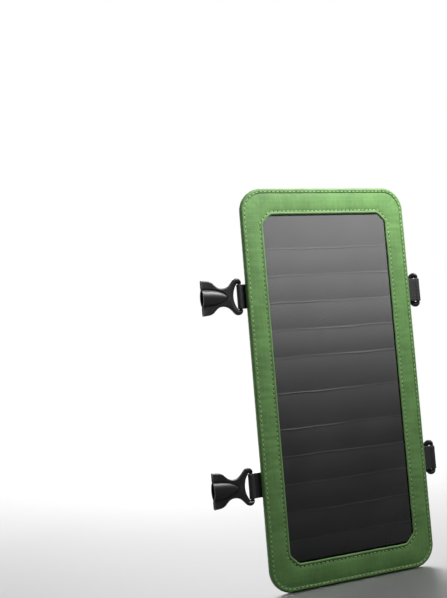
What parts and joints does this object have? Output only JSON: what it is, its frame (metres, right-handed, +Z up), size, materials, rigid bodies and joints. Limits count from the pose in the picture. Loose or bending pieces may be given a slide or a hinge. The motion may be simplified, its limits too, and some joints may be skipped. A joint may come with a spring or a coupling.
{
  "type": "solar phone charger panel",
  "caption": "Stiff fabric-bordered solar charging panel with webbing tabs and swinging buckle sockets, and a USB regulator box on its back.",
  "frame": {"origin": "centre of the back cover's outer face, the side that lies against the backpack", "axes": "+X right as seen from the front, +Z up the long side, -Y out of the sun side and +Y towards the backpack"},
  "size_m": [0.265, 0.0389, 0.411],
  "materials": {
    "ripstop": "green ripstop nylon, satin",
    "binding": "green woven nylon tape",
    "back_cover": "black packcloth",
    "foam": "closed-cell foam",
    "board": "stiff plastic board",
    "film": "clear fluoropolymer film, satin gloss",
    "encapsulant": "clear encapsulant",
    "back_sheet": "dark laminate back sheet",
    "cell": "thin-film cell, blue-black",
    "link": "printed link line, dark grey",
    "ribbon": "tinned copper ribbon",
    "webbing": "black nylon webbing",
    "buckle": "moulded black acetal, satin",
    "box": "moulded black plastic, fine spark texture",
    "gasket": "black silicone rubber",
    "screw": "black steel screw",
    "circuit_board": "green solder mask",
    "chip": "black epoxy",
    "ferrite": "grey ferrite",
    "capacitor": "aluminium can",
    "led": "clear epoxy",
    "light_pipe": "clear acrylic",
    "usb_shell": "nickel-plated steel",
    "usb_tongue": "white plastic",
    "contact": "gold-plated contact",
    "red_lead": "red insulation",
    "black_lead": "black insulation"
  },
  "bodies": {
    "panel": {"front_border": "ripstop", "edge_binding": "binding", "front_padding": "foam", "rear_padding": "foam", "stiffener_board": "board", "back_cover": "back_cover", "front_film": "film", "front_encapsulant": "encapsulant", "rear_encapsulant": "encapsulant", "back_sheet": "back_sheet", "cell_links": "link", "positive_ribbon": "ribbon", "negative_ribbon": "ribbon", "box_base": "box", "box_lid": "box", "box_gasket": "gasket", "box_screws": "screw", "regulator_board": "circuit_board", "regulator_chip": "chip", "inductor": "ferrite", "capacitors": "capacitor", "blocking_diode": "chip", "indicator_led": "led", "light_pipe": "light_pipe", "usb_shell": "usb_shell", "usb_tongue": "usb_tongue", "usb_contacts": "contact", "positive_lead": "red_lead", "negative_lead": "black_lead", "lead_grommet": "gasket", "cell_strip_01": "cell", "cell_strip_02": "cell", "cell_strip_03": "cell", "cell_strip_04": "cell", "cell_strip_05": "cell", "cell_strip_06": "cell", "cell_strip_07": "cell", "cell_strip_08": "cell", "cell_strip_09": "cell", "cell_strip_10": "cell", "cell_strip_11": "cell", "cell_strip_12": "cell", "webbing_tab_upper_left": "webbing", "webbing_tab_upper_right": "webbing", "webbing_tab_lower_left": "webbing", "webbing_tab_lower_right": "webbing"},
    "socket_upper_left": {"buckle_socket_upper_left": "buckle"},
    "socket_upper_right": {"buckle_socket_upper_right": "buckle"},
    "socket_lower_left": {"buckle_socket_lower_left": "buckle"},
    "socket_lower_right": {"buckle_socket_lower_right": "buckle"}
  },
  "joints": [
    {"name": "socket_upper_left_swing", "type": "hinge", "parent": "panel", "child": "socket_upper_left", "pos_m": [-0.1032, 0.0017, 0.0955], "axis": [0, 0, -1], "range_deg": [-90, 145]},
    {"name": "socket_upper_right_swing", "type": "hinge", "parent": "panel", "child": "socket_upper_right", "pos_m": [0.1125, 0.0017, 0.0925], "axis": [0, 0, 1], "range_deg": [-270, 5]},
    {"name": "socket_lower_left_swing", "type": "hinge", "parent": "panel", "child": "socket_lower_left", "pos_m": [-0.1075, 0.0017, -0.0955], "axis": [0, 0, -1], "range_deg": [-90, 145]},
    {"name": "socket_lower_right_swing", "type": "hinge", "parent": "panel", "child": "socket_lower_right", "pos_m": [0.1125, 0.0017, -0.0925], "axis": [0, 0, 1], "range_deg": [-270, 5]}
  ]
}
